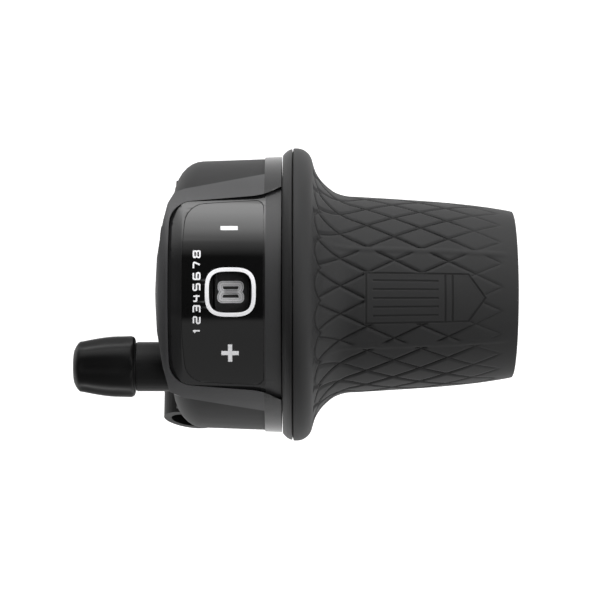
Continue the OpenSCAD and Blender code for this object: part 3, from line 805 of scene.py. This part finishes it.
for gear in range(1, marks["gears"] + 1):
    for i, (layer, stroke, slot) in enumerate(numbers["layers"]):
        finishPiece(makeNumber(gear, layer, stroke, numbers["lift"] * (i + 1)), "grip", slot)
print("numbers printed")


studio = {
    "eye": (27.6, -1.1, 504), "lens": 151.2,
    "floorZ": -90, "floorGlow": 0.6, "skyStrength": 5.0, "wallTone": 0.8,
    # brightness of the surroundings by their angle from straight up towards +Y: a soft box in a dark band
    # across the middle, and a plain soft light either side of it
    "middle": [(-180, 0.2), (-95, 0.2), (-85, 0.1), (-21.5, 0.1), (-20.5, 0.004), (32, 0.004),
               (44, 0.2), (58, 0.75), (74, 1.15), (82, 1.15), (92, 0.3), (180, 0.2)],
    "sides": [(-180, 0.2), (-95, 0.12), (-60, 0.08), (-25, 0.19), (0, 0.35), (35, 0.36),
              (70, 0.22), (95, 0.12), (180, 0.2)],
    "bandX": -0.25, "bandHalf": (0.39, 0.55), "inboardShare": 0.35, "outboardShare": 1.1,
    "sideFade": (0.15, 0.6), "floorSize": 4, "floorX": 0.03, "sensor": 36, "clipStart": 0.01,
}


def makeCamera():
    deselectAll()
    bpy.ops.object.camera_add(location=Vector(studio["eye"]) * mm)
    camera = bpy.context.object
    camera.data.lens = studio["lens"]
    camera.data.sensor_width = studio["sensor"]
    camera.data.clip_start = studio["clipStart"]
    bpy.context.scene.camera = camera


def makeFloor():
    deselectAll()
    place = (studio["floorX"], 0, studio["floorZ"] * mm)
    bpy.ops.mesh.primitive_plane_add(size=studio["floorSize"], location=place)
    floor = bpy.context.object
    floor.name = "floor"
    material, tree, shader = newMaterial("floorPaper", 0.9)
    shader.inputs["Base Color"].default_value = (0.85, 0.85, 0.85, 1)
    shader.inputs["Emission Color"].default_value = (1, 1, 1, 1)
    shader.inputs["Emission Strength"].default_value = studio["floorGlow"]
    floor.data.materials.append(material)


def skyRamp(tree, along, values):
    ramp = tree.nodes.new("ShaderNodeValToRGB")
    stops = ramp.color_ramp.elements
    first, last = values[0][1], values[-1][1]
    stops[0].color = (first, first, first, 1)
    stops[1].color = (last, last, last, 1)
    for angle, value in values[1:-1]:
        stop = stops.new((angle + 180) / 360)
        stop.color = (value, value, value, 1)
    link(tree, along, ramp.inputs["Fac"])
    return ramp.outputs["Color"]


def makeSky():
    world = bpy.data.worlds.new("studio")
    world.use_nodes = True
    bpy.context.scene.world = world
    tree = world.node_tree
    place = tree.nodes.new("ShaderNodeTexCoord")
    split = tree.nodes.new("ShaderNodeSeparateXYZ")
    link(tree, place.outputs["Generated"], split.inputs[0])
    turn = mathNode(tree, "ARCTAN2", split.outputs["Y"], split.outputs["Z"])
    along = mathNode(tree, "MULTIPLY_ADD", turn, 0.5 / math.pi, 0.5)
    ramps = [skyRamp(tree, along, studio["middle"]), skyRamp(tree, along, studio["sides"])]
    fromBand = mathNode(tree, "ABSOLUTE", mathNode(tree, "SUBTRACT", split.outputs["X"], studio["bandX"]))
    aside = stepNode(tree, fromBand, *studio["bandHalf"])
    mix = mixColours(tree, aside, *ramps)
    inboard = stepNode(tree, mathNode(tree, "MULTIPLY", split.outputs["X"], -1.0), *studio["sideFade"])
    outboard = stepNode(tree, split.outputs["X"], *studio["sideFade"])
    share = mixValues(tree, inboard, 1.0, studio["inboardShare"])
    share = mathNode(tree, "MULTIPLY", share, mixValues(tree, outboard, 1.0, studio["outboardShare"]))
    strength = mathNode(tree, "MULTIPLY", share, studio["skyStrength"])
    # the camera itself sees a plain pale wall
    seen = tree.nodes.new("ShaderNodeLightPath").outputs["Is Camera Ray"]
    background = tree.nodes["Background"]
    link(tree, mixValues(tree, seen, strength, 1.0), background.inputs["Strength"])
    link(tree, mixColours(tree, seen, mix, gray(studio["wallTone"])), background.inputs["Color"])


makeCamera()
makeFloor()
makeSky()
bpy.context.scene.view_settings.view_transform = "Standard"
print("stage set")
